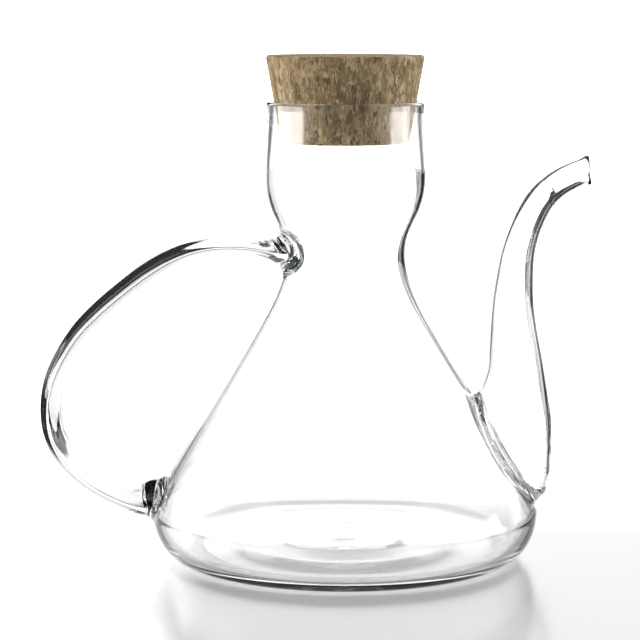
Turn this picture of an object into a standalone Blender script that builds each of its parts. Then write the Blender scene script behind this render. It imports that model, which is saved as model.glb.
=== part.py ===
"""Clear glass oil cruet with a side spout, a strap handle and a tapered cork stopper.

Units are metres and +Z is up. The origin is the centre of the flat underside, on the
axis of the body. The spout points along +X and the handle along -X, both in the plane Y = 0.
The body, the spout and the handle are fused glass, so they are one hollow solid: the neck is
open at the top, and the spout's bore meets the body through an oval port in its wall.
"""
import math

import bmesh
import bpy
import numpy as np

MM = 0.001

# Body of the cruet: outside radius at each height above the table, in mm
FOOT_RADIUS = 47.5
BODY_RADIUS = 57.5
CORNER_HEIGHT = 14.6
CORNER_POWER = 2.05
CORNER_STEPS = 6
BODY_STATIONS = (
    (19.6, 55.3),
    (25.2, 51.9),
    (42.0, 41.8),
    (58.5, 31.8),
    (67.5, 26.4),
    (73.5, 23.0),
    (79.5, 20.2),
    (85.4, 18.3),
    (90.0, 17.8),
    (94.4, 18.3),
    (98.8, 20.0),
    (103.3, 22.0),
    (108.0, 23.3),
    (115.0, 23.7),
    (122.0, 23.4),
    (129.7, 23.0),
)
RIM_HEIGHT = 135.2
RIM_RADIUS = 23.3
MOUTH_RADIUS = 21.3
RIM_BEAD = 1.0
RIM_STEPS = 4

# Wall thickness at each height, in mm, and the relief of the floor inside
WALL_STATIONS = (
    (0.0, 2.6),
    (14.6, 2.1),
    (40.0, 1.7),
    (70.0, 1.6),
    (90.0, 1.5),
    (115.0, 1.2),
    (129.0, 1.6),
    (133.0, 1.9),
)
FLOOR_STATIONS = (
    (0.0, 3.4),
    (2.2, 3.6),
    (4.5, 4.3),
    (12.0, 4.4),
    (19.0, 3.6),
    (27.0, 3.5),
    (35.0, 3.0),
    (43.5, 2.9),
)
FLOOR_STEP = 0.6
MOUTH_OVERSHOOT = 2.0
BODY_SEGMENTS = 48
BODY_SPACING = 5.0
FLOOR_SPACING = 5.0

# Spout, from its pouring tip down to the bell on the body:
# x, z, half size in the plane Y = 0, half size along Y, in mm
SPOUT_STATIONS = (
    (71.6, 115.1, 4.5, 4.5),
    (69.2, 114.5, 4.2, 4.2),
    (65.7, 113.0, 4.2, 4.2),
    (61.8, 110.6, 4.2, 4.2),
    (58.1, 107.1, 4.3, 4.3),
    (55.1, 102.2, 4.5, 4.5),
    (52.9, 97.0, 4.7, 4.7),
    (51.4, 92.0, 5.0, 5.0),
    (50.1, 82.5, 5.7, 5.7),
    (49.7, 75.5, 6.3, 6.3),
    (49.9, 67.5, 7.1, 7.2),
    (50.3, 61.5, 7.8, 8.2),
    (50.7, 55.5, 8.6, 9.8),
    (50.4, 49.0, 10.2, 12.2),
    (49.5, 42.5, 12.3, 15.0),
    (48.2, 36.0, 13.8, 17.0),
    (47.2, 30.0, 14.5, 17.4),
    (46.9, 25.0, 14.5, 16.8),
    (47.3, 20.5, 13.5, 15.2),
    (47.8, 17.0, 12.7, 13.6),
    (48.5, 14.4, 10.8, 11.2),
    (49.4, 12.4, 7.2, 7.4),
)
SPOUT_WALL = 1.35
SPOUT_SPACING = 4.4
SPOUT_SIDES = 16
TIP_ALONG = (-1.0, 0.0)
BORE_OVERSHOOT = 2.0
BORE_END_RISE = 1.6

# Oval port through the wall, under the spout's bell: its cutter reaches in and out of the wall
PORT_X = 48.6
PORT_Z = 31.4
PORT_LENGTH = 17.0
PORT_WIDTH = 12.0
PORT_REACH_IN = 8.0
PORT_REACH_OUT = 4.0
PORT_SIDES = 24
CONE_ANGLE = math.radians(31.0)

# Handle, from its top joint on the waist to its low joint above the foot:
# x, z, half thickness, half width along Y, in mm
HANDLE_STATIONS = (
    (-13.4, 90.4, 5.2, 11.2),
    (-17.4, 91.0, 4.8, 11.4),
    (-21.4, 91.8, 3.4, 10.2),
    (-25.5, 92.5, 2.7, 9.4),
    (-31.0, 93.0, 2.6, 9.0),
    (-38.0, 92.9, 2.6, 9.0),
    (-45.0, 91.6, 2.7, 9.0),
    (-52.0, 88.7, 2.9, 9.0),
    (-58.8, 84.6, 3.1, 9.0),
    (-65.6, 79.4, 3.1, 9.0),
    (-72.6, 73.4, 3.1, 9.0),
    (-78.4, 67.3, 3.1, 9.0),
    (-82.9, 60.4, 3.1, 9.0),
    (-86.2, 52.9, 3.1, 9.0),
    (-87.5, 45.5, 3.1, 9.0),
    (-87.0, 38.2, 3.1, 9.0),
    (-84.4, 31.7, 3.2, 9.0),
    (-79.7, 26.1, 3.2, 9.0),
    (-73.7, 21.6, 3.3, 9.2),
    (-67.0, 18.3, 3.5, 9.8),
    (-61.0, 16.7, 4.4, 11.0),
    (-56.6, 16.8, 5.6, 12.2),
    (-51.6, 17.2, 5.8, 12.4),
)
HANDLE_SPACING = 4.6
HANDLE_SIDES = 14
HANDLE_POWER = 2.5
ELLIPSE_POWER = 2.0

# Cork stopper: a short tapered plug with softened edges
CORK_TOP_HEIGHT = 148.7
CORK_TOP_RADIUS = 23.4
CORK_BOTTOM_HEIGHT = 123.2
CORK_BOTTOM_RADIUS = 18.8
CORK_TOP_CHAMFER = 0.8
CORK_BOTTOM_CHAMFER = 0.5
CORK_SEGMENTS = 48

GLASS_COLOUR = (0.93, 0.96, 0.95, 1.0)
CORK_COLOUR = (0.60, 0.42, 0.26, 1.0)
SMOOTH_ANGLE = math.radians(40.0)


def clear_scene():
    """Remove every object of the open scene."""
    for item in list(bpy.data.objects):
        bpy.data.objects.remove(item, do_unlink=True)


def principled(name, colour, roughness, transmission=0.0):
    """Make one material with a Principled BSDF."""
    material = bpy.data.materials.new(name)
    material.use_nodes = True
    shader = material.node_tree.nodes["Principled BSDF"]
    shader.inputs["Base Color"].default_value = colour
    shader.inputs["Roughness"].default_value = roughness
    shader.inputs["Metallic"].default_value = 0.0
    shader.inputs["Transmission Weight"].default_value = transmission
    return material


def smooth_curve(stations, spacing):
    """Sample a smooth curve through the stations, cutting each span to about the spacing.

    The curve is a cubic through the stations by chord length. The first two columns are
    the place, and any other columns are sizes that vary along the curve with it.
    """
    points = np.array(stations, dtype=float)
    chord = np.hypot(*np.diff(points[:, :2], axis=0).T)
    slope = np.diff(points, axis=0) / chord[:, None]
    inner = slope[:-1] * chord[1:, None] + slope[1:] * chord[:-1, None]
    inner /= (chord[1:] + chord[:-1])[:, None]
    tangent = np.vstack([slope[0], inner, slope[-1]])
    rows = [points[0]]
    for index, length in enumerate(chord):
        cuts = max(1, round(length / spacing))
        for t in np.arange(1, cuts + 1) / cuts:
            rows.append(
                (2 * t**3 - 3 * t**2 + 1) * points[index]
                + (t**3 - 2 * t**2 + t) * length * tangent[index]
                + (3 * t**2 - 2 * t**3) * points[index + 1]
                + (t**3 - t**2) * length * tangent[index + 1]
            )
    return np.array(rows)


def body_side():
    """Outside profile of the glass from the foot's edge to below the rim, as (z, radius)."""
    corner = []
    for step in range(CORNER_STEPS):
        angle = 0.5 * math.pi * step / CORNER_STEPS
        out = math.sin(angle) ** (2.0 / CORNER_POWER)
        up = 1.0 - math.cos(angle) ** (2.0 / CORNER_POWER)
        corner.append((CORNER_HEIGHT * up, FOOT_RADIUS + (BODY_RADIUS - FOOT_RADIUS) * out))
    stations = ((CORNER_HEIGHT, BODY_RADIUS),) + BODY_STATIONS
    return np.vstack([corner, smooth_curve(stations, BODY_SPACING)])


def rim_outside():
    """Rounded outer edge of the mouth, from its bead to the middle of the rim's top."""
    middle = 0.5 * (RIM_RADIUS + MOUTH_RADIUS)
    half = RIM_RADIUS - middle
    return [(RIM_HEIGHT - RIM_BEAD + RIM_BEAD * math.sin(angle), middle + half * math.cos(angle))
            for angle in np.linspace(0.0, 0.5 * math.pi, RIM_STEPS)]


def outer_profile():
    """Closed-to-axis outside profile of the body, as (radius, z) from bottom to top."""
    rows = [(0.0, 0.0)]
    rows += [(radius, z) for z, radius in body_side()]
    rows += [(radius, z) for z, radius in rim_outside()]
    rows.append((0.0, RIM_HEIGHT))
    return rows


def cavity_profile():
    """Closed-to-axis profile of the space inside, as (radius, z) from the floor up.

    It is the outside profile moved in by the wall, over the relief of the floor, and it
    leaves through the mouth with the rounding of the rim's inner edge.
    """
    side = body_side()
    run = np.gradient(side, axis=0)
    inward = np.column_stack([run[:, 1], -run[:, 0]]) / np.hypot(run[:, 0], run[:, 1])[:, None]
    heights, walls = zip(*WALL_STATIONS)
    wall = np.interp(side[:, 0], heights, walls)
    inner = side + inward * wall[:, None]
    inner = inner[inner[:, 0] > FLOOR_STATIONS[-1][1] + FLOOR_STEP]
    rows = [(radius, z) for radius, z in smooth_curve(FLOOR_STATIONS, FLOOR_SPACING)]
    rows += [(radius, z) for z, radius in inner]
    middle = 0.5 * (RIM_RADIUS + MOUTH_RADIUS)
    half = middle - MOUTH_RADIUS
    for angle in np.linspace(0.0, 0.5 * math.pi, RIM_STEPS):
        rows.append((middle - half * math.cos(angle), RIM_HEIGHT - RIM_BEAD + RIM_BEAD * math.sin(angle)))
    rows.append((middle, RIM_HEIGHT + MOUTH_OVERSHOOT))
    rows.append((0.0, RIM_HEIGHT + MOUTH_OVERSHOOT))
    return rows


def finish_mesh(name, builder, material):
    """Turn a bmesh into an object, with its faces pointing out and round faces smooth."""
    bmesh.ops.recalc_face_normals(builder, faces=builder.faces)
    mesh = bpy.data.meshes.new(name)
    builder.to_mesh(mesh)
    builder.free()
    mesh.materials.append(material)
    mesh.shade_smooth()
    mesh.set_sharp_from_angle(angle=SMOOTH_ANGLE)
    item = bpy.data.objects.new(name, mesh)
    bpy.context.scene.collection.objects.link(item)
    return item


def join_rings(builder, rings):
    """Bridge neighbouring rings of vertices with quads."""
    for low, high in zip(rings[:-1], rings[1:]):
        count = len(low)
        for index in range(count):
            after = (index + 1) % count
            builder.faces.new((low[index], low[after], high[after], high[index]))


def lathe(name, profile, segments, material):
    """Turn a profile that starts and ends on the axis into a closed solid."""
    builder = bmesh.new()
    bottom = builder.verts.new((0.0, 0.0, profile[0][1] * MM))
    top = builder.verts.new((0.0, 0.0, profile[-1][1] * MM))
    rings = []
    for radius, z in profile[1:-1]:
        ring = []
        for index in range(segments):
            angle = 2.0 * math.pi * index / segments
            place = (radius * MM * math.cos(angle), radius * MM * math.sin(angle), z * MM)
            ring.append(builder.verts.new(place))
        rings.append(ring)
    join_rings(builder, rings)
    for index in range(segments):
        after = (index + 1) % segments
        builder.faces.new((bottom, rings[0][after], rings[0][index]))
        builder.faces.new((top, rings[-1][index], rings[-1][after]))
    return finish_mesh(name, builder, material)


def section_ring(builder, centre, along, half_plane, half_width, sides, power):
    """One rounded section across a path in the plane Y = 0."""
    ring = []
    across_x, across_z = -along[1], along[0]
    for index in range(sides):
        angle = 2.0 * math.pi * index / sides
        cosine, sine = math.cos(angle), math.sin(angle)
        u = math.copysign(abs(cosine) ** (2.0 / power), cosine) * half_plane
        v = math.copysign(abs(sine) ** (2.0 / power), sine) * half_width
        place = ((centre[0] + across_x * u) * MM, v * MM, (centre[1] + across_z * u) * MM)
        ring.append(builder.verts.new(place))
    return ring


def sweep(name, rows, sides, power, material, first_along=None):
    """Closed solid swept along rows of x, z, half size in the plane and half size along Y."""
    run = np.gradient(rows[:, :2], axis=0)
    along = run / np.hypot(run[:, 0], run[:, 1])[:, None]
    if first_along is not None:
        along[0] = first_along
    builder = bmesh.new()
    rings = [section_ring(builder, row[:2], way, row[2], row[3], sides, power)
             for row, way in zip(rows, along)]
    join_rings(builder, rings)
    builder.faces.new(rings[0])
    builder.faces.new(rings[-1])
    return finish_mesh(name, builder, material)


def spout_rows():
    """Outside of the spout, from the tip to the bell's lower end."""
    return smooth_curve(SPOUT_STATIONS, SPOUT_SPACING)


def bore_rows():
    """Bore of the spout: its outside moved in by the wall, run out past the tip."""
    rows = spout_rows()
    rows[:, 2:] -= SPOUT_WALL
    rows = rows[rows[:, 1] > SPOUT_STATIONS[-1][1] + BORE_END_RISE]
    past = rows[0].copy()
    past[0] += BORE_OVERSHOOT
    return np.vstack([past, rows])


def port_cutter(material):
    """Oval plug, square to the cone's wall, that opens the body into the spout."""
    out_x, out_z = math.cos(CONE_ANGLE), math.sin(CONE_ANGLE)
    ends = np.array([
        (PORT_X + out_x * reach, PORT_Z + out_z * reach, 0.5 * PORT_LENGTH, 0.5 * PORT_WIDTH)
        for reach in (-PORT_REACH_IN, PORT_REACH_OUT)
    ])
    return sweep("port_cutter", ends, PORT_SIDES, ELLIPSE_POWER, material)


def hide_helper(item):
    """Keep a tool solid out of the model."""
    item.hide_render = True
    item.display_type = "WIRE"


def boolean(item, other, operation):
    """Join or cut with another solid, by a modifier that stays on the object."""
    modifier = item.modifiers.new(other.name, "BOOLEAN")
    modifier.operation = operation
    modifier.solver = "EXACT"
    modifier.object = other
    hide_helper(other)


def build_glass():
    """Body, spout and handle fused, then hollowed."""
    material = principled("clear_glass", GLASS_COLOUR, 0.03, transmission=1.0)
    glass = lathe("glass", outer_profile(), BODY_SEGMENTS, material)
    pocket_limit = lathe("pocket_limit", outer_profile(), BODY_SEGMENTS, material)
    spout = sweep("spout_outside", spout_rows(), SPOUT_SIDES, ELLIPSE_POWER, material, TIP_ALONG)
    handle_rows = smooth_curve(HANDLE_STATIONS, HANDLE_SPACING)
    handle = sweep("handle_bar", handle_rows, HANDLE_SIDES, HANDLE_POWER, material)
    cavity = lathe("cavity", cavity_profile(), BODY_SEGMENTS, material)
    bore = sweep("bore", bore_rows(), SPOUT_SIDES, ELLIPSE_POWER, material, TIP_ALONG)
    boolean(bore, pocket_limit, "DIFFERENCE")
    boolean(glass, spout, "UNION")
    boolean(glass, handle, "UNION")
    boolean(glass, cavity, "DIFFERENCE")
    boolean(glass, bore, "DIFFERENCE")
    boolean(glass, port_cutter(material), "DIFFERENCE")
    return glass


def build_cork():
    """Tapered cork stopper, seated in the mouth."""
    material = principled("cork", CORK_COLOUR, 0.85)
    taper = (CORK_TOP_RADIUS - CORK_BOTTOM_RADIUS) / (CORK_TOP_HEIGHT - CORK_BOTTOM_HEIGHT)
    profile = (
        (0.0, CORK_BOTTOM_HEIGHT),
        (CORK_BOTTOM_RADIUS - CORK_BOTTOM_CHAMFER, CORK_BOTTOM_HEIGHT),
        (CORK_BOTTOM_RADIUS + taper * CORK_BOTTOM_CHAMFER, CORK_BOTTOM_HEIGHT + CORK_BOTTOM_CHAMFER),
        (CORK_TOP_RADIUS - taper * CORK_TOP_CHAMFER, CORK_TOP_HEIGHT - CORK_TOP_CHAMFER),
        (CORK_TOP_RADIUS - CORK_TOP_CHAMFER, CORK_TOP_HEIGHT),
        (0.0, CORK_TOP_HEIGHT),
    )
    return lathe("cork", profile, CORK_SEGMENTS, material)


clear_scene()
build_glass()
build_cork()
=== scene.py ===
"""Looks of a clear glass oil cruet with a tapered cork stopper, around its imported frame.

The tables below are in millimetres, as on a drawing, and the meshes are in metres. The glass
is drawn again from the outside sizes of the frame's solid, with many more faces, an elliptical
handle, melted joints between the body, the spout and the handle, and the ripples of a blown
floor. The walls of its cone and spout are drawn thinner than the solid's.
"""
import math

import bmesh
import bpy
import numpy as np
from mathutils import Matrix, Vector, noise

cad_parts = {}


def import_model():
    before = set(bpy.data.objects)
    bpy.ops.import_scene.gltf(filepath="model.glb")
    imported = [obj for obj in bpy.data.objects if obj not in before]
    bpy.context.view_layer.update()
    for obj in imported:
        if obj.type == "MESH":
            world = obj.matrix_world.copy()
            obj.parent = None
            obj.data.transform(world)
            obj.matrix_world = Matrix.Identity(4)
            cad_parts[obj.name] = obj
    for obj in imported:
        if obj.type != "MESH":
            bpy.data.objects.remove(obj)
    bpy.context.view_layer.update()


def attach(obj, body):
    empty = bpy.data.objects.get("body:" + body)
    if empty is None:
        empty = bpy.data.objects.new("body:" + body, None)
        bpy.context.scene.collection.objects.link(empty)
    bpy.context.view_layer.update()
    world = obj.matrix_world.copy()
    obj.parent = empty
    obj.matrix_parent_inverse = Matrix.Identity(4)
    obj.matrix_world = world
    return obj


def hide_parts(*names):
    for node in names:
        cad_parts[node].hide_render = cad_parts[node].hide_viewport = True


MM = 0.001
SEED = 7
FAR = 1e9
TINY = 1e-6

# Body of the cruet: outside radius at each height above the table
FOOT_RINGS = 6
FOOT_RADIUS = 47.5
BODY_RADIUS = 57.5
CORNER_HEIGHT = 14.6
CORNER_POWER = 2.05
CORNER_STEPS = 18
BODY_STATIONS = (
    (19.6, 55.3), (25.2, 51.9), (42.0, 41.8), (58.5, 31.8), (67.5, 26.4), (73.5, 23.0),
    (79.5, 20.2), (85.4, 18.3), (90.0, 17.8), (94.4, 18.3), (98.8, 20.0), (103.3, 22.0),
    (108.0, 23.3), (115.0, 23.7), (122.0, 23.4), (129.7, 23.0),
)
RIM_HEIGHT = 135.2
RIM_RADIUS = 23.3
MOUTH_RADIUS = 21.3
RIM_BEAD = 1.0
RIM_STEPS = 9

# Wall thickness at each height, and the relief of the floor inside
WALL_STATIONS = ((0.0, 2.6), (14.6, 1.9), (26.0, 1.3), (40.0, 1.1), (70.0, 1.1), (90.0, 1.2), (115.0, 1.2),
                 (129.0, 1.6), (133.0, 1.9))
FLOOR_STATIONS = (
    (0.0, 3.6), (1.0, 3.62), (2.1, 3.84), (3.2, 3.94), (8.0, 3.96), (14.5, 3.9), (16.6, 3.78), (18.4, 3.56),
    (20.5, 3.46), (27.0, 3.4), (31.0, 3.3), (34.5, 3.12), (38.0, 2.96), (41.0, 2.9), (43.5, 2.9),
)
FLOOR_STEP = 0.6
MOUTH_OVERSHOOT = 2.0
BODY_SEGMENTS = 184
BODY_SPACING = 1.35
FLOOR_SPACING = 1.1

# Spout, from its pouring tip down to the bell on the body:
# x, z, half size in the plane Y = 0, half size along Y
SPOUT_STATIONS = (
    (71.6, 115.1, 4.5, 4.5), (69.2, 114.5, 4.2, 4.2), (65.7, 113.0, 4.2, 4.2), (61.8, 110.6, 4.2, 4.2),
    (58.1, 107.1, 4.3, 4.3), (55.1, 102.2, 4.5, 4.5), (52.9, 97.0, 4.7, 4.7), (51.4, 92.0, 5.0, 5.0),
    (50.1, 82.5, 5.7, 5.7), (49.7, 75.5, 6.3, 6.3), (49.9, 67.5, 7.1, 7.2), (50.3, 61.5, 7.8, 8.2),
    (50.7, 55.5, 8.6, 9.8), (50.4, 49.0, 10.2, 12.2), (49.5, 42.5, 12.3, 15.0), (48.2, 36.0, 13.8, 17.0),
    (47.2, 30.0, 14.5, 17.4), (46.9, 25.0, 14.5, 16.8), (47.3, 20.5, 13.5, 15.2), (47.8, 17.0, 12.7, 13.6),
    (48.5, 14.4, 10.8, 11.2), (49.4, 12.4, 7.2, 7.4),
)
SPOUT_WALL = 1.0
SPOUT_SPACING = 1.3
SPOUT_SIDES = 56
TIP_ALONG = (-1.0, 0.0)
LIP_ROUND = 0.45
LIP_STEPS = 5
BORE_OVERSHOOT = 2.0
BORE_END_RISE = 1.6

# Oval port through the wall, under the spout's bell
PORT_X = 48.6
PORT_Z = 31.4
PORT_LENGTH = 17.0
PORT_WIDTH = 12.0
PORT_REACH_IN = 8.0
PORT_REACH_OUT = 4.0
PORT_SIDES = 72
PORT_STEPS = 10
CONE_ANGLE = math.radians(31.0)

# Handle, from its top joint on the waist to its low joint above the foot:
# x, z, half thickness, half width along Y
HANDLE_STATIONS = (
    (-13.4, 90.4, 5.2, 11.2), (-17.4, 91.0, 4.8, 11.4), (-21.4, 91.8, 3.4, 10.2), (-25.5, 92.5, 2.7, 9.4),
    (-31.0, 93.0, 2.6, 9.0), (-38.0, 92.9, 2.6, 9.0), (-45.0, 91.6, 2.7, 9.0), (-52.0, 88.7, 2.9, 9.0),
    (-58.8, 84.6, 3.1, 9.0), (-65.6, 79.4, 3.1, 9.0), (-72.6, 73.4, 3.1, 9.0), (-78.4, 67.3, 3.1, 9.0),
    (-82.9, 60.4, 3.1, 9.0), (-86.2, 52.9, 3.1, 9.0), (-87.5, 45.5, 3.1, 9.0), (-87.0, 38.2, 3.1, 9.0),
    (-84.4, 31.7, 3.2, 9.0), (-79.7, 26.1, 3.2, 9.0), (-73.7, 21.6, 3.3, 9.2), (-67.0, 18.3, 3.5, 9.8),
    (-61.0, 16.7, 4.4, 11.0), (-56.6, 16.8, 5.6, 12.2), (-51.6, 17.2, 5.8, 12.4),
)
HANDLE_SPACING = 1.4
HANDLE_SIDES = 88
HANDLE_POWER = 2.0
ELLIPSE_POWER = 2.0

# Melted joints: how far each fillet reaches on either side of its seam
HANDLE_MELT = 2.6
SPOUT_MELT = 2.6
POCKET_MELT = 2.0
PORT_MELT = 1.4

# Where joints are melted, and how the mesh there is refined and moved
MELT_TOP = 112.0
MELT_RIGHT = 61.0
MELT_FROM_AXIS = 8.0
MELT_MERGE = 0.02
MELT_REFINED = 0.02
MELT_MOVED = 0.004
MELT_EDGE = 0.8
MELT_PASSES = 2
MELT_STEPS = 4
MELT_STRIDE = 1.0
MELT_PROBE = 0.02
MELT_LEAST_SLOPE = 0.2

# Cork stopper
CORK_TOP_HEIGHT = 148.7
CORK_TOP_RADIUS = 23.4
CORK_BOTTOM_HEIGHT = 123.2
CORK_BOTTOM_RADIUS = 18.8
CORK_EDGE = 0.6
CORK_SEGMENTS = 420
CORK_SIDE_SPACING = 0.34
CORK_FLAT_SPACING = 0.6

# Relief of the cork's skin
CHIP_SIZE = 1.3
CHIP_STRETCH = 0.45
CHIP_JOINT = 0.22
CHIP_DEPTH = 0.07
CHIP_MIX = 3.7
JOINT_DEPTH = 0.09
PIT_SIZE = 2.2
PIT_REACH = 0.4
PIT_RARITY = 0.12
PIT_DEPTH = 0.3
PIT_MIX = 5.1

# Colours of the cork's chips, from dark to pale
CORK_TONES = (
    (0.15, 0.10, 0.045, 1.0), (0.31, 0.215, 0.105, 1.0), (0.40, 0.285, 0.145, 1.0), (0.47, 0.35, 0.185, 1.0),
    (0.62, 0.48, 0.28, 1.0),
)

# Textures of the cork: cells or waves per metre, and for noise the detail too
CHIP_SCALE = 780.0
SPECK_SCALE = 620.0
BEND_NOISE = (600.0, 1.0)
GRAIN_NOISE = (2100.0, 3.0)
PATCH_NOISE = (190.0, 2.0)
GRAIN_STRETCH = 0.22
BEND_REACH = 0.0012

# Where each mark on the cork starts and is full, how strong it is, and its colour
PALE_GRAIN = ((0.50, 0.72), 0.6, (0.78, 0.64, 0.41, 1.0))
DARK_GRAIN = ((0.48, 0.30), 0.7, (0.22, 0.15, 0.075, 1.0))
PATCH_BAND = (0.60, 0.38)
PATCH_COLOUR = (0.72, 0.68, 0.62, 1.0)
JOINT_BAND = (0.08, 0.0)
JOINT_PATCHES = (0.40, 0.58)
JOINT_STRENGTH = 0.8
JOINT_COLOUR = (0.13, 0.08, 0.04, 1.0)
SPECK_BAND = (0.24, 0.10)
SPECK_CHOICE = (0.66, 0.76)
SPECK_STRENGTH = 0.85
SPECK_COLOUR = (0.07, 0.042, 0.022, 1.0)
CORK_ROUGHNESS = 0.85

# Clear borosilicate glass
GLASS_IOR = 1.47
GLASS_SHADOW = (0.93, 0.93, 0.93, 1.0)
GLASS_TINT = (0.865, 0.875, 0.87, 1.0)
GLASS_DENSITY = 125.0

# Camera, in metres and degrees
CAMERA_PLACE = (-0.0074, -0.700, 0.16404)
CAMERA_PITCH = 7.61
CAMERA_LENS = 133.85
SENSOR_WIDTH = 36.0

# Table top, in millimetres, and its finish
FLOOR_SIDE = 1500.0
FLOOR_FRONT = 1500.0
FLOOR_BACK = 4000.0
FLOOR_WHITE = 0.19
FLOOR_DARK = 0.03
FLOOR_IOR = 1.9
FLOOR_SHINE = 0.5
FLOOR_ROUGHNESS = 0.2

# Parts of the table, in metres: its gap under the foot, and a white lane that widens towards the back,
# with a dark side on the left and on the right, which start behind LANE_START
FLOOR_GAP = 0.0002
LANE_LEFT = 0.106
LANE_RIGHT = 0.090
LANE_SPREAD = 0.1333
LANE_FAR_LEFT = 0.404
LANE_FADE = 0.012
LANE_START = (-0.30, -0.20)
RIGHT_REACH = 0.19
RIGHT_SPREAD = 2.2
RIGHT_FADE = 0.03

# Glow of the lane, and of the dark sides in front and far left. The glow is quieter round the cruet and on
# its right: painted shade round the cruet's foot, also seen through the glass as dark lines.
FLOOR_GLOW = 0.90
PAINTED_SHADE_GLOW = 0.15
PAINTED_SHADE_SIDE = (-0.062, -0.038)
PAINTED_SHADE_BACK = (0.13, 0.02)
FRONT_GLOW = 0.15
FRONT_EDGE = (-0.02, -0.08)
FAR_LEFT_GLOW = 0.22
FAR_LEFT = (0.4, 0.8)

# Light all round. Each zone has a brightness, a side (-1 left, 1 right, 0 both), and where it starts,
# is full, is full until and ends, in azimuth from straight behind and in height above the table
BACK_LIGHT = 1.5
LIGHT_ZONES = (
    (0.10, 0, (114.0, 134.0, 900.0, 901.0), (-91.0, -90.0, 90.0, 91.0)),
    (0.12, 0, (-2.0, -1.0, 55.0, 75.0), (40.0, 50.0, 70.0, 85.0)),
    (2.20, 0, (-2.0, -1.0, 16.0, 24.0), (-91.0, -90.0, 22.0, 30.0)),
    (0.03, -1, (8.5, 11.0, 62.0, 68.0), (3.0, 5.5, 44.0, 50.0)),
    (0.22, -1, (18.0, 24.0, 50.0, 60.0), (-91.0, -90.0, 3.0, 5.5)),
    (0.25, 1, (17.0, 23.0, 42.0, 48.0), (-91.0, -90.0, 8.0, 14.0)),
    (9.0, -1, (63.0, 66.0, 112.0, 117.0), (-12.0, -8.0, 10.0, 16.0)),
    (7.5, 1, (71.0, 74.0, 108.0, 112.0), (-12.0, -8.0, 10.0, 16.0)),
)
PLAIN_WHITE = (1.0, 1.0, 1.0, 1.0)

# How often light is followed through the glass, and off shiny faces
GLASS_BOUNCES = 24
SHINE_BOUNCES = 16


def smooth_curve(stations, spacing):
    """Sample a smooth cubic through the stations, by chord length, every spacing or so."""
    points = np.array(stations, dtype=float)
    chord = np.hypot(*np.diff(points[:, :2], axis=0).T)
    slope = np.diff(points, axis=0) / chord[:, None]
    inner = slope[:-1] * chord[1:, None] + slope[1:] * chord[:-1, None]
    inner /= (chord[1:] + chord[:-1])[:, None]
    tangent = np.vstack([slope[0], inner, slope[-1]])
    rows = [points[0]]
    for index, length in enumerate(chord):
        cuts = max(1, round(length / spacing))
        for t in np.arange(1, cuts + 1) / cuts:
            rows.append(
                (2 * t**3 - 3 * t**2 + 1) * points[index]
                + (t**3 - 2 * t**2 + t) * length * tangent[index]
                + (3 * t**2 - 2 * t**3) * points[index + 1]
                + (t**3 - t**2) * length * tangent[index + 1]
            )
    return np.array(rows)


def body_side():
    """Outside profile of the glass from the foot's edge to below the rim, as (z, radius)."""
    corner = []
    for step in range(CORNER_STEPS):
        angle = 0.5 * math.pi * step / CORNER_STEPS
        out = math.sin(angle) ** (2.0 / CORNER_POWER)
        up = 1.0 - math.cos(angle) ** (2.0 / CORNER_POWER)
        corner.append((CORNER_HEIGHT * up, FOOT_RADIUS + (BODY_RADIUS - FOOT_RADIUS) * out))
    stations = ((CORNER_HEIGHT, BODY_RADIUS),) + BODY_STATIONS
    return np.vstack([corner, smooth_curve(stations, BODY_SPACING)])


def rim_arc(inside):
    """Rounded edge of the mouth, as (radius, z), from its side to the middle of its top."""
    middle = 0.5 * (RIM_RADIUS + MOUTH_RADIUS)
    half = MOUTH_RADIUS - middle if inside else RIM_RADIUS - middle
    return [(middle + half * math.cos(angle), RIM_HEIGHT - RIM_BEAD + RIM_BEAD * math.sin(angle))
            for angle in np.linspace(0.0, 0.5 * math.pi, RIM_STEPS)]


def outer_profile():
    """Outside of the body, from the axis under the foot to the axis over the mouth."""
    rows = [(radius, 0.0) for radius in np.linspace(0.0, FOOT_RADIUS, FOOT_RINGS)[:-1]]
    rows += [(radius, z) for z, radius in body_side()]
    rows += rim_arc(inside=False)
    rows.append((0.0, RIM_HEIGHT))
    return np.array(rows)


def cavity_profile():
    """Space inside the body, from the axis on the floor to the axis above the mouth."""
    side = body_side()
    run = np.gradient(side, axis=0)
    inward = np.column_stack([run[:, 1], -run[:, 0]]) / np.hypot(run[:, 0], run[:, 1])[:, None]
    heights, walls = zip(*WALL_STATIONS)
    inner = side + inward * np.interp(side[:, 0], heights, walls)[:, None]
    inner = inner[inner[:, 0] > FLOOR_STATIONS[-1][1] + FLOOR_STEP]
    rows = [(radius, z) for radius, z in smooth_curve(FLOOR_STATIONS, FLOOR_SPACING)]
    rows += [(radius, z) for z, radius in inner]
    rows += rim_arc(inside=True)
    rows.append((0.5 * (RIM_RADIUS + MOUTH_RADIUS), RIM_HEIGHT + MOUTH_OVERSHOOT))
    rows.append((0.0, RIM_HEIGHT + MOUTH_OVERSHOOT))
    return np.array(rows)


def link_mesh(name, vertices, faces):
    """Make an object from vertices in millimetres, with its faces pointing out."""
    mesh = bpy.data.meshes.new(name)
    mesh.from_pydata(np.asarray(vertices) * MM, [], faces)
    builder = bmesh.new()
    builder.from_mesh(mesh)
    bmesh.ops.recalc_face_normals(builder, faces=builder.faces)
    builder.to_mesh(mesh)
    builder.free()
    item = bpy.data.objects.new(name, mesh)
    bpy.context.scene.collection.objects.link(item)
    return item


def ring_faces(rings, sides):
    """Quads between neighbouring rings whose vertices follow each other in one list."""
    index = np.arange(sides)
    after = (index + 1) % sides
    faces = []
    for ring in range(rings - 1):
        low, high = ring * sides, (ring + 1) * sides
        faces += np.column_stack([low + index, low + after, high + after, high + index]).tolist()
    return faces


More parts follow.
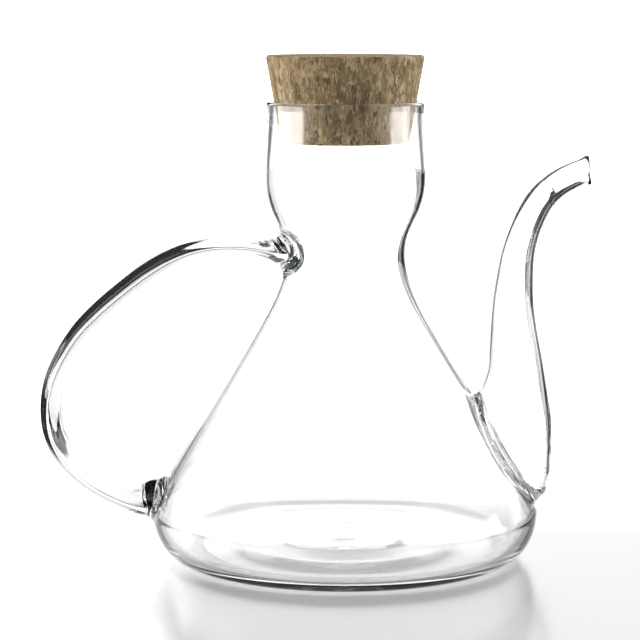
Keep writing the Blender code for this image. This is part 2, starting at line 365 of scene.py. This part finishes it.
def lathe(name, profile, segments):
    """Turn a profile of (radius, z) that starts and ends on the axis into a closed solid."""
    angle = 2.0 * np.pi * np.arange(segments) / segments
    rings = profile[1:-1]
    x = rings[:, :1] * np.cos(angle)
    y = rings[:, :1] * np.sin(angle)
    z = np.repeat(rings[:, 1:], segments, axis=1)
    vertices = np.stack([x, y, z], axis=-1).reshape(-1, 3)
    ends = [(0.0, 0.0, profile[0][1]), (0.0, 0.0, profile[-1][1])]
    bottom = len(vertices)
    last = (len(rings) - 1) * segments
    faces = ring_faces(len(rings), segments)
    for index in range(segments):
        after = (index + 1) % segments
        faces.append((bottom, after, index))
        faces.append((bottom + 1, last + index, last + after))
    return link_mesh(name, np.vstack([vertices, ends]), faces)


def sweep_rings(rows, sides, power, first_along=None):
    """Rounded sections across a path in the plane Y = 0, as an array of rings."""
    run = np.gradient(rows[:, :2], axis=0)
    along = run / np.hypot(run[:, 0], run[:, 1])[:, None]
    if first_along is not None:
        along[0] = first_along
    angle = 2.0 * np.pi * np.arange(sides) / sides
    cosine, sine = np.cos(angle), np.sin(angle)
    u = np.sign(cosine) * np.abs(cosine) ** (2.0 / power) * rows[:, 2:3]
    v = np.sign(sine) * np.abs(sine) ** (2.0 / power) * rows[:, 3:4]
    x = rows[:, :1] - along[:, 1:] * u
    z = rows[:, 1:2] + along[:, :1] * u
    return np.stack([x, v, z], axis=-1)


def sweep(name, rows, sides, power, first_along=None):
    """Closed solid swept along rows of x, z, half size in the plane and half size along Y."""
    rings = sweep_rings(rows, sides, power, first_along)
    faces = ring_faces(len(rings), sides)
    faces.append(tuple(range(sides))[::-1])
    faces.append(tuple(range((len(rings) - 1) * sides, len(rings) * sides)))
    return link_mesh(name, rings.reshape(-1, 3), faces)


def lip_rows(rows, grow):
    """Rows of the spout's rounded lip: its sections shrink, or grow, to a quarter circle."""
    lip = []
    for angle in np.linspace(0.0, 0.5 * math.pi, LIP_STEPS)[1:]:
        row = rows[0].copy()
        row[0] += LIP_ROUND * (math.sin(angle) - 1.0)
        change = LIP_ROUND * (1.0 - math.cos(angle))
        row[2:] += change if grow else -change
        lip.append(row)
    return lip[::-1]


def spout_rows():
    """Outside of the spout from the tip to the bell's lower end."""
    return smooth_curve(SPOUT_STATIONS, SPOUT_SPACING)


def rounded_spout_rows():
    """Outside of the spout with its lip rounded off."""
    rows = spout_rows()
    return np.vstack([lip_rows(rows, grow=False), rows[1:]])


def bore_rows():
    """Bore of the spout, rounded at the lip and run out past the tip."""
    rows = spout_rows()
    rows[:, 2:] -= SPOUT_WALL
    rows = rows[rows[:, 1] > SPOUT_STATIONS[-1][1] + BORE_END_RISE]
    lip = lip_rows(rows, grow=True)
    past = lip[0].copy()
    past[0] += BORE_OVERSHOOT
    return np.vstack([past, lip, rows[1:]])


def port_rows():
    """Oval plug, square to the cone's wall, that opens the body into the spout."""
    reach = np.linspace(-PORT_REACH_IN, PORT_REACH_OUT, PORT_STEPS)
    out_x, out_z = math.cos(CONE_ANGLE), math.sin(CONE_ANGLE)
    half = np.full_like(reach, 0.5)
    return np.column_stack([PORT_X + out_x * reach, PORT_Z + out_z * reach,
                            half * PORT_LENGTH, half * PORT_WIDTH])


def boolean(item, other, operation):
    """Join or cut with another closed solid, and throw the tool solid away."""
    modifier = item.modifiers.new(operation.lower(), "BOOLEAN")
    modifier.operation = operation
    modifier.solver = "MANIFOLD"
    modifier.object = other
    graph = bpy.context.evaluated_depsgraph_get()
    mesh = bpy.data.meshes.new_from_object(item.evaluated_get(graph))
    item.modifiers.clear()
    item.data = mesh
    bpy.data.objects.remove(other, do_unlink=True)


def turned_field(points, profile):
    """Distance to a turned profile of (radius, z), negative inside."""
    radius, z = np.hypot(points[:, 0], points[:, 1]), points[:, 2]
    best = np.full(len(points), FAR)
    inside = np.zeros(len(points), dtype=bool)
    for (r0, z0), (r1, z1) in zip(profile[:-1], profile[1:]):
        run_r, run_z = r1 - r0, z1 - z0
        t = ((radius - r0) * run_r + (z - z0) * run_z) / (run_r**2 + run_z**2)
        t = np.clip(t, 0.0, 1.0)
        best = np.minimum(best, (radius - r0 - t * run_r) ** 2 + (z - z0 - t * run_z) ** 2)
        if z0 != z1:
            crosses = (z0 > z) != (z1 > z)
            inside ^= crosses & (radius < r0 + (z - z0) * run_r / run_z)
    return np.where(inside, -1.0, 1.0) * np.sqrt(best)


def swept_field(points, rows, power):
    """Nearly the distance to a swept solid, negative inside."""
    x, y, z = points.T
    best = np.full(len(points), FAR)
    across = np.zeros(len(points))
    past = np.full(len(points), -FAR)
    half = np.ones((len(points), 2))
    last = len(rows) - 2
    for index, (row, after) in enumerate(zip(rows[:-1], rows[1:])):
        run = after[:2] - row[:2]
        length = math.hypot(*run)
        run = run / length
        raw = ((x - row[0]) * run[0] + (z - row[1]) * run[1]) / length
        t = np.clip(raw, 0.0, 1.0)
        gap_x = x - row[0] - t * length * run[0]
        gap_z = z - row[1] - t * length * run[1]
        away = gap_x**2 + gap_z**2
        near = away < best
        best[near] = away[near]
        side = gap_z * run[0] - gap_x * run[1]
        end = (index == 0) & (raw < 0.0) | (index == last) & (raw > 1.0)
        reach = np.where(raw < 0.0, -raw, raw - 1.0) * length
        size = np.where(end, np.abs(side), np.sqrt(away))
        across[near] = np.copysign(size, side)[near]
        past[near] = np.where(end, reach, -FAR)[near]
        sizes = row[2:] + t[:, None] * (after[2:] - row[2:])
        half[near] = sizes[near]
    u, v = np.abs(across) / half[:, 0], np.abs(y) / half[:, 1]
    level = np.maximum((u**power + v**power) ** (1.0 / power), TINY)
    slope = np.hypot((u / level) ** (power - 1) / half[:, 0], (v / level) ** (power - 1) / half[:, 1])
    return np.maximum((level - 1.0) / np.maximum(slope, TINY), past)


def blend_low(first, second, reach):
    """The lower of two fields, with a melted fillet of this reach where they meet."""
    if reach == 0.0:
        return np.minimum(first, second)
    share = np.clip(1.0 - np.abs(first - second) / reach, 0.0, None)
    return np.minimum(first, second) - 0.25 * reach * share**2


def glass_field(points, shapes, melted=True):
    """Distance-like field of the whole glass, with or without its melted joints."""
    handle_melt, spout_melt, pocket_melt, port_melt = (
        HANDLE_MELT, SPOUT_MELT, POCKET_MELT, PORT_MELT) if melted else (0.0,) * 4
    body = turned_field(points, shapes["outer"])
    outside = blend_low(body, swept_field(points, shapes["handle"], HANDLE_POWER), handle_melt)
    outside = blend_low(outside, swept_field(points, shapes["spout"], ELLIPSE_POWER), spout_melt)
    pocket = -blend_low(-swept_field(points, shapes["bore"], ELLIPSE_POWER), body, pocket_melt)
    port = swept_field(points, shapes["port"], ELLIPSE_POWER)
    cavity = turned_field(points, shapes["cavity"])
    hollow = np.minimum(np.minimum(cavity, pocket), port)
    return -blend_low(-outside, hollow, port_melt)


def melt_joints(item, shapes):
    """Refine the mesh along its seams and move it onto the field with melted joints."""
    mesh = item.data
    builder = bmesh.new()
    builder.from_mesh(mesh)
    bmesh.ops.remove_doubles(builder, verts=builder.verts, dist=MELT_MERGE * MM)
    for _ in range(MELT_PASSES):
        places = np.array([vertex.co for vertex in builder.verts]) / MM
        shift = seam_shift(places, shapes)
        for vertex, value in zip(builder.verts, shift):
            vertex.tag = value > MELT_REFINED
        edges = [edge for edge in builder.edges
                 if (edge.verts[0].tag or edge.verts[1].tag) and edge.calc_length() > MELT_EDGE * MM]
        bmesh.ops.subdivide_edges(builder, edges=edges, cuts=1, use_grid_fill=True)
        bmesh.ops.triangulate(builder, faces=[face for face in builder.faces if len(face.verts) > 4])
    places = np.array([vertex.co for vertex in builder.verts]) / MM
    moving = np.flatnonzero(seam_shift(places, shapes) > MELT_MOVED)
    points = places[moving]
    for _ in range(MELT_STEPS):
        stride = np.clip(glass_field(points, shapes), -MELT_STRIDE, MELT_STRIDE)
        slope = np.stack([
            glass_field(points + step, shapes) - glass_field(points - step, shapes)
            for step in MELT_PROBE * np.eye(3)
        ], axis=-1) / (2.0 * MELT_PROBE)
        steepness = np.maximum((slope**2).sum(axis=1), MELT_LEAST_SLOPE)
        points = points - stride[:, None] * slope / steepness[:, None]
    builder.verts.ensure_lookup_table()
    for index, point in zip(moving, points):
        builder.verts[index].co = point * MM
    builder.to_mesh(mesh)
    builder.free()
    mesh.shade_smooth()


def seam_shift(places, shapes):
    """How far each place has to move to reach the melted joints, nought away from them."""
    x, _, z = places.T
    near = (z < MELT_TOP) & (np.abs(x) > MELT_FROM_AXIS) & (x < MELT_RIGHT)
    shift = np.zeros(len(places))
    points = places[near]
    shift[near] = np.abs(glass_field(points, shapes) - glass_field(points, shapes, melted=False))
    return shift


def build_glass():
    """Body, spout and handle as one hollow glass, with melted joints."""
    shapes = {
        "outer": outer_profile(),
        "cavity": cavity_profile(),
        "spout": spout_rows(),
        "bore": bore_rows(),
        "handle": smooth_curve(HANDLE_STATIONS, HANDLE_SPACING),
        "port": port_rows(),
    }
    glass = lathe("glass_fine", shapes["outer"], BODY_SEGMENTS)
    limit = lathe("limit", shapes["outer"], BODY_SEGMENTS)
    spout = sweep("spout", rounded_spout_rows(), SPOUT_SIDES, ELLIPSE_POWER, TIP_ALONG)
    handle = sweep("handle", shapes["handle"], HANDLE_SIDES, HANDLE_POWER)
    cavity = lathe("cavity", shapes["cavity"], BODY_SEGMENTS)
    bore = sweep("bore", shapes["bore"], SPOUT_SIDES, ELLIPSE_POWER, TIP_ALONG)
    port = sweep("port", shapes["port"], PORT_SIDES, ELLIPSE_POWER)
    boolean(bore, limit, "DIFFERENCE")
    boolean(glass, spout, "UNION")
    boolean(glass, handle, "UNION")
    boolean(glass, cavity, "DIFFERENCE")
    boolean(glass, bore, "DIFFERENCE")
    boolean(glass, port, "DIFFERENCE")
    melt_joints(glass, shapes)
    return glass


def build_cork():
    """Tapered cork with softened edges, its surface broken by chips and pits."""
    taper = (CORK_TOP_RADIUS - CORK_BOTTOM_RADIUS) / (CORK_TOP_HEIGHT - CORK_BOTTOM_HEIGHT)
    low_edge = (CORK_BOTTOM_RADIUS + taper * CORK_EDGE, CORK_BOTTOM_HEIGHT + CORK_EDGE)
    high_edge = (CORK_TOP_RADIUS - taper * CORK_EDGE, CORK_TOP_HEIGHT - CORK_EDGE)
    corners = ((0.0, CORK_BOTTOM_HEIGHT), (CORK_BOTTOM_RADIUS - CORK_EDGE, CORK_BOTTOM_HEIGHT), low_edge,
               high_edge, (CORK_TOP_RADIUS - CORK_EDGE, CORK_TOP_HEIGHT), (0.0, CORK_TOP_HEIGHT))
    rows = [np.array(corners[0])]
    for start, end in zip(corners[:-1], corners[1:]):
        start, end = np.array(start), np.array(end)
        spacing = CORK_FLAT_SPACING if start[1] == end[1] else CORK_SIDE_SPACING
        cuts = max(1, round(math.hypot(*(end - start)) / spacing))
        rows += [start + (end - start) * t for t in np.arange(1, cuts + 1) / cuts]
    cork = lathe("cork_fine", np.array(rows), CORK_SEGMENTS)
    places = [vertex.co / MM for vertex in cork.data.vertices]
    normals = [vertex.normal.copy() for vertex in cork.data.vertices]
    for vertex, place, normal in zip(cork.data.vertices, places, normals):
        vertex.co = (place - normal * cork_depth(place)) * MM
    cork.data.shade_smooth()
    return cork


def cork_depth(place):
    """How far the cork's skin lies under its smooth taper: joints between chips, and a few pits."""
    stretched = Vector((place.x + SEED, place.y, CHIP_STRETCH * place.z))
    near, centres = noise.voronoi(stretched / CHIP_SIZE)
    joint = max(0.0, 1.0 - (near[1] - near[0]) / CHIP_JOINT)
    level = 0.5 + 0.5 * noise.noise(centres[0] * CHIP_MIX)
    pit_near, pit_centres = noise.voronoi(stretched / PIT_SIZE)
    pitted = noise.noise(pit_centres[0] * PIT_MIX) > PIT_RARITY
    pit = max(0.0, 1.0 - pit_near[0] / PIT_REACH) if pitted else 0.0
    return JOINT_DEPTH * joint + CHIP_DEPTH * level + PIT_DEPTH * pit


def node_maker(tree):
    """Short helper that adds a node with its settings and links."""
    def add(kind, inputs=None, **settings):
        node = tree.nodes.new(kind)
        for key, value in settings.items():
            setattr(node, key, value)
        for key, value in (inputs or {}).items():
            if isinstance(value, bpy.types.NodeSocket):
                tree.links.new(value, node.inputs[key])
            else:
                node.inputs[key].default_value = value
        return node
    return add


def glass_material():
    """Clear borosilicate glass with a faint grey body tint."""
    material = bpy.data.materials.new("clear_glass")
    material.use_nodes = True
    tree = material.node_tree
    tree.nodes.clear()
    add = node_maker(tree)
    glass = add("ShaderNodeBsdfPrincipled", {
        "Base Color": PLAIN_WHITE,
        "Roughness": 0.0,
        "IOR": GLASS_IOR,
        "Transmission Weight": 1.0,
    })
    clear = add("ShaderNodeBsdfTransparent", {"Color": GLASS_SHADOW})
    shadow = add("ShaderNodeLightPath").outputs["Is Shadow Ray"]
    mix = add("ShaderNodeMixShader", {0: shadow, 1: glass.outputs[0], 2: clear.outputs[0]})
    volume = add("ShaderNodeVolumeAbsorption", {"Color": GLASS_TINT, "Density": GLASS_DENSITY})
    output = add("ShaderNodeOutputMaterial")
    tree.links.new(mix.outputs[0], output.inputs["Surface"])
    tree.links.new(volume.outputs[0], output.inputs["Volume"])
    return material


def cork_material():
    """Agglomerated cork: pale chips with dark joints and specks."""
    material = bpy.data.materials.new("cork_chips")
    material.use_nodes = True
    tree = material.node_tree
    add = node_maker(tree)
    shader = tree.nodes["Principled BSDF"]
    place = add("ShaderNodeTexCoord").outputs["Object"]
    tall = add("ShaderNodeMapping", {"Vector": place, "Scale": (1.0, 1.0, CHIP_STRETCH)}).outputs[0]
    taller = add("ShaderNodeMapping", {"Vector": place, "Scale": (1.0, 1.0, GRAIN_STRETCH)}).outputs[0]
    bend = noise_node(add, place, BEND_NOISE).outputs["Color"]
    tall = add("ShaderNodeMix", {0: BEND_REACH, 4: tall, 5: bend}, data_type="VECTOR",
               clamp_factor=False).outputs[1]
    chips = add("ShaderNodeTexVoronoi", {"Vector": tall, "Scale": CHIP_SCALE})
    chip = add("ShaderNodeSeparateColor", {0: chips.outputs["Color"]}).outputs[0]
    tone = add("ShaderNodeValToRGB", {"Fac": chip})
    ramp = tone.color_ramp
    ramp.elements[0].color = CORK_TONES[0]
    ramp.elements[1].color = CORK_TONES[-1]
    for index, colour in enumerate(CORK_TONES[1:-1], start=1):
        ramp.elements.new(index / (len(CORK_TONES) - 1)).color = colour
    grain = noise_node(add, taller, GRAIN_NOISE).outputs["Fac"]
    patches = noise_node(add, place, PATCH_NOISE).outputs["Fac"]
    edges = add("ShaderNodeTexVoronoi", {"Vector": tall, "Scale": CHIP_SCALE}, feature="DISTANCE_TO_EDGE")
    joint = band(add, edges.outputs["Distance"], *JOINT_BAND)
    joint = math_node(add, "MULTIPLY", joint, band(add, patches, *JOINT_PATCHES))
    specks = add("ShaderNodeTexVoronoi", {"Vector": tall, "Scale": SPECK_SCALE})
    rare = add("ShaderNodeSeparateColor", {0: specks.outputs["Color"]}).outputs[1]
    speck = band(add, specks.outputs["Distance"], *SPECK_BAND)
    speck = math_node(add, "MULTIPLY", speck, band(add, rare, *SPECK_CHOICE))
    colour = tone.outputs[0]
    for edge, strength, shade in (PALE_GRAIN, DARK_GRAIN):
        share = math_node(add, "MULTIPLY", band(add, grain, *edge), strength)
        colour = blend_colour(add, share, colour, shade)
    colour = blend_colour(add, band(add, patches, *PATCH_BAND), colour, PATCH_COLOUR, "MULTIPLY")
    colour = blend_colour(add, math_node(add, "MULTIPLY", joint, JOINT_STRENGTH), colour, JOINT_COLOUR)
    colour = blend_colour(add, math_node(add, "MULTIPLY", speck, SPECK_STRENGTH), colour, SPECK_COLOUR)
    tree.links.new(colour, shader.inputs["Base Color"])
    shader.inputs["Roughness"].default_value = CORK_ROUGHNESS
    return material


def paint(item, material):
    """Give an object this one material."""
    item.data.materials.clear()
    item.data.materials.append(material)


def place_camera():
    """Camera at the photograph's viewing angle."""
    data = bpy.data.cameras.new("camera")
    data.lens = CAMERA_LENS
    data.sensor_width = SENSOR_WIDTH
    camera = bpy.data.objects.new("camera", data)
    camera.location = CAMERA_PLACE
    camera.rotation_euler = (math.radians(90.0 - CAMERA_PITCH), 0.0, 0.0)
    bpy.context.scene.collection.objects.link(camera)
    bpy.context.scene.camera = camera


def band(add, value, low, high):
    """Smooth step of a value from nought at low to one at high."""
    return add("ShaderNodeMapRange", {"Value": value, "From Min": low, "From Max": high},
               interpolation_type="SMOOTHSTEP").outputs["Result"]


def math_node(add, operation, first, second=0.0):
    """Output of one Math node."""
    return add("ShaderNodeMath", {0: first, 1: second}, operation=operation).outputs[0]


def noise_node(add, place, settings):
    """Noise texture with this scale and detail."""
    scale, detail = settings
    return add("ShaderNodeTexNoise", {"Vector": place, "Scale": scale, "Detail": detail})


def blend(add, share, first, second):
    """Mix of two numbers, the second as much as the share says."""
    return add("ShaderNodeMix", {0: share, 2: first, 3: second}, data_type="FLOAT").outputs[0]


def blend_colour(add, share, first, second, kind="MIX"):
    """Mix of two colours, the second as much as the share says."""
    return add("ShaderNodeMix", {0: share, 6: first, 7: second}, data_type="RGBA", blend_type=kind).outputs[2]


def build_floor():
    """Glossy table top, white along a lane from the front to the back and dark on both sides of it, with
    painted shade round the cruet's foot.
    """
    floor = link_mesh("floor", [(-FLOOR_SIDE, -FLOOR_FRONT, 0), (FLOOR_SIDE, -FLOOR_FRONT, 0),
                                (FLOOR_SIDE, FLOOR_BACK, 0), (-FLOOR_SIDE, FLOOR_BACK, 0)], [(0, 1, 2, 3)])
    floor.location.z = -FLOOR_GAP
    material = bpy.data.materials.new("white_table")
    material.use_nodes = True
    tree = material.node_tree
    add = node_maker(tree)
    shader = tree.nodes["Principled BSDF"]
    parts = add("ShaderNodeSeparateXYZ", {0: add("ShaderNodeNewGeometry").outputs["Position"]}).outputs
    spread = math_node(add, "MULTIPLY", parts[1], LANE_SPREAD)
    left_edge = math_node(add, "MAXIMUM", math_node(add, "ADD", spread, LANE_LEFT),
                          math_node(add, "MULTIPLY", parts[1], LANE_FAR_LEFT))
    past_right = math_node(add, "SUBTRACT", parts[0], math_node(add, "ADD", spread, LANE_RIGHT))
    past_left = math_node(add, "SUBTRACT", math_node(add, "MULTIPLY", parts[0], -1.0), left_edge)
    past = math_node(add, "MAXIMUM", past_right, past_left)
    reach = math_node(add, "MAXIMUM", math_node(add, "MULTIPLY", parts[1], RIGHT_SPREAD), RIGHT_REACH)
    within = band(add, math_node(add, "SUBTRACT", parts[0], reach), RIGHT_FADE, 0.0)
    dark = math_node(add, "MULTIPLY", band(add, past, 0.0, LANE_FADE), band(add, parts[1], *LANE_START))
    dark = math_node(add, "MULTIPLY", dark, within)
    left = math_node(add, "LESS_THAN", parts[0], 0.0)
    left = math_node(add, "MULTIPLY", left, band(add, parts[1], *FAR_LEFT))
    colour = blend(add, dark, FLOOR_WHITE, FLOOR_DARK)
    # Painted shade: the glow drops under and in front of the cruet and on its right
    painted_shade = math_node(add, "MULTIPLY", band(add, parts[0], *PAINTED_SHADE_SIDE), band(add, parts[1], *PAINTED_SHADE_BACK))
    dim = math_node(add, "ADD", math_node(add, "MULTIPLY", left, FAR_LEFT_GLOW),
                    math_node(add, "MULTIPLY", band(add, parts[1], *FRONT_EDGE), FRONT_GLOW))
    glow = blend(add, dark, blend(add, painted_shade, FLOOR_GLOW, PAINTED_SHADE_GLOW), dim)
    tree.links.new(colour, shader.inputs["Base Color"])
    tree.links.new(glow, shader.inputs["Emission Strength"])
    tree.links.new(blend(add, dark, FLOOR_SHINE, 0.0), shader.inputs["Specular IOR Level"])
    shader.inputs["Emission Color"].default_value = PLAIN_WHITE
    shader.inputs["Roughness"].default_value = FLOOR_ROUGHNESS
    shader.inputs["IOR"].default_value = FLOOR_IOR
    paint(floor, material)


def span(add, value, edges):
    """One inside four edges, in degrees, with soft borders, and nought outside."""
    start, full, until, end = (math.radians(edge) for edge in edges)
    return math_node(add, "MULTIPLY", band(add, value, start, full), band(add, value, end, until))


def light_scene():
    """White light behind, dark flags beside it, bright soft boxes on both sides and a dim front."""
    world = bpy.data.worlds.new("studio")
    world.use_nodes = True
    bpy.context.scene.world = world
    tree = world.node_tree
    add = node_maker(tree)
    parts = add("ShaderNodeSeparateXYZ", {0: add("ShaderNodeTexCoord").outputs["Generated"]}).outputs
    right = math_node(add, "ARCTAN2", parts[0], parts[1])
    azimuth = {1: right, -1: math_node(add, "MULTIPLY", right, -1.0), 0: math_node(add, "ABSOLUTE", right)}
    height = math_node(add, "ARCSINE", parts[2])
    level = BACK_LIGHT
    for brightness, side, around, upwards in LIGHT_ZONES:
        share = math_node(add, "MULTIPLY", span(add, azimuth[side], around), span(add, height, upwards))
        level = blend(add, share, level, brightness)
    tree.links.new(level, tree.nodes["Background"].inputs["Strength"])
    tree.nodes["Background"].inputs["Color"].default_value = PLAIN_WHITE


def main():
    """Build the looks around the frame."""
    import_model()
    bpy.context.scene.view_settings.view_transform = "Standard"
    cycles = bpy.context.scene.cycles
    cycles.max_bounces = GLASS_BOUNCES
    cycles.transmission_bounces = GLASS_BOUNCES
    cycles.glossy_bounces = SHINE_BOUNCES
    place_camera()
    build_floor()
    light_scene()
    glass = build_glass()
    paint(glass, glass_material())
    cork = build_cork()
    paint(cork, cork_material())
    for piece, node in ((glass, "glass"), (cork, "cork")):
        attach(piece, "root")
        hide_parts(node)


main()
